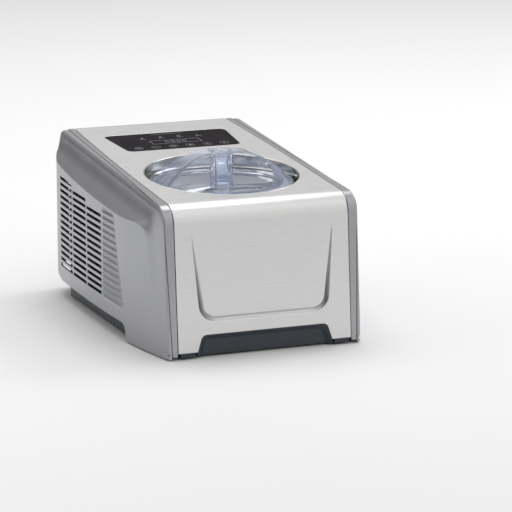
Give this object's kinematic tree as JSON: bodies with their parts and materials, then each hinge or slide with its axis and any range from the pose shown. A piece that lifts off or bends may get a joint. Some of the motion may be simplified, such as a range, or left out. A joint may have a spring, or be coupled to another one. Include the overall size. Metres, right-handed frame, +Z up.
{
  "type": "ice cream maker",
  "caption": "Compressor ice cream maker: leaning brushed steel front and top, louvred silver side covers, sunk bowl under a clear lid with an arched handle, black touch panel.",
  "frame": {"origin": "on the counter, under the middle of the machine's outer box", "axes": "+Z up, -Y out of the steel front, +X to the right seen from the front"},
  "size_m": [0.3004, 0.424, 0.229],
  "materials": {
    "brushed_steel": "satin brushed",
    "polished_steel": "polished",
    "silver_cover": "satin silver paint on moulded plastic",
    "trim_grey": "satin dark silver",
    "base_slate": "fine matt grain",
    "black_plastic": "matt",
    "rubber": "matt",
    "screw_steel": "zinc plated",
    "aluminium": "bare",
    "copper": "bare copper",
    "foam": "expanded foam",
    "gear_white": "acetal",
    "shaft_steel": "ground",
    "bronze": "sintered bronze",
    "black_enamel": "black enamel",
    "winding": "laminations and enamelled wire",
    "glass_black": "gloss black overlay with faint grey symbols",
    "board_green": "solder resist",
    "lcd": "display window",
    "clear_plastic": "clear, faintly blue at thick edges",
    "paddle_white": "translucent white"
  },
  "bodies": {
    "housing": {"steel_shell": "brushed_steel", "left_cover": "silver_cover", "right_cover": "silver_cover", "left_trim": "trim_grey", "right_trim": "trim_grey", "base_tray": "base_slate", "rubber_feet": "rubber", "base_screws": "screw_steel", "rear_panel": "silver_cover", "rear_screws": "screw_steel", "power_inlet": "black_plastic", "well_collar": "polished_steel", "evaporator_pot": "aluminium", "evaporator_coil": "copper", "insulation_jacket": "foam", "shaft_seal": "rubber", "counter_axle": "shaft_steel", "drive_bushes": "bronze", "gearbox_lower": "black_plastic", "gearbox_upper": "black_plastic", "motor_case": "screw_steel", "motor_stator": "winding", "compressor_shell": "black_enamel", "compressor_bracket": "screw_steel", "compressor_grommets": "rubber", "compressor_relay": "black_plastic", "condenser_tube": "copper", "condenser_fins": "aluminium", "fan_shroud": "black_plastic", "fan_motor": "screw_steel", "filter_drier": "copper", "discharge_line": "copper", "suction_line": "copper", "capillary_tube": "copper", "control_panel": "glass_black", "control_board": "board_green", "display_module": "lcd", "power_board": "board_green", "power_board_parts": "black_plastic", "board_tray": "black_plastic", "ribbon_cable": "gear_white", "temperature_sensor": "screw_steel"},
    "drive": {"drive_gear": "gear_white", "drive_shaft": "shaft_steel"},
    "counter": {"counter_gear": "gear_white"},
    "rotor": {"motor_rotor": "shaft_steel", "motor_pinion": "gear_white"},
    "fan": {"fan_rotor": "black_plastic"},
    "bowl": {"bowl": "aluminium"},
    "bail": {"bowl_handle": "polished_steel"},
    "paddle": {"paddle": "paddle_white"},
    "lid_hub": {"lid_bush": "gear_white"},
    "lid": {"lid_disc": "clear_plastic", "lid_handle": "clear_plastic"}
  },
  "joints": [
    {"name": "drive_spin", "type": "hinge", "parent": "housing", "child": "drive", "pos_m": [0, -0.06, 0.06], "axis": [0, 0, 1], "continuous": true},
    {"name": "counter_spin", "type": "hinge", "parent": "housing", "child": "counter", "pos_m": [0.04875, -0.06, 0.06], "axis": [0, 0, 1], "continuous": true},
    {"name": "rotor_spin", "type": "hinge", "parent": "housing", "child": "rotor", "pos_m": [0.04875, -0.095, 0.04], "axis": [0, 0, 1], "continuous": true},
    {"name": "fan_spin", "type": "hinge", "parent": "housing", "child": "fan", "pos_m": [0.098, 0.122, 0.092], "axis": [1, 0, 0], "continuous": true},
    {"name": "bowl_lift", "type": "slide", "parent": "housing", "child": "bowl", "axis": [0, 0, 1], "range_m": [0, 0.15]},
    {"name": "bail_swing", "type": "hinge", "parent": "bowl", "child": "bail", "pos_m": [0, -0.06, 0.187], "axis": [1, 0, 0], "range_deg": [0, 180]},
    {"name": "paddle_lift", "type": "slide", "parent": "drive", "child": "paddle", "axis": [0, 0, 1], "range_m": [0, 0.15]},
    {"name": "lid_lift", "type": "slide", "parent": "bowl", "child": "lid_hub", "axis": [0, 0, 1], "range_m": [0, 0.12]},
    {"name": "lid_twist", "type": "hinge", "parent": "lid_hub", "child": "lid", "pos_m": [0, -0.06, 0.185], "axis": [0, 0, 1], "range_deg": [0, 35]}
  ],
  "couplings": [
    {"joint": "counter_spin", "follows": "drive_spin", "ratio": -3.3333},
    {"joint": "rotor_spin", "follows": "drive_spin", "ratio": 11.25},
    {"joint": "paddle_lift", "follows": "bowl_lift", "ratio": 1}
  ]
}
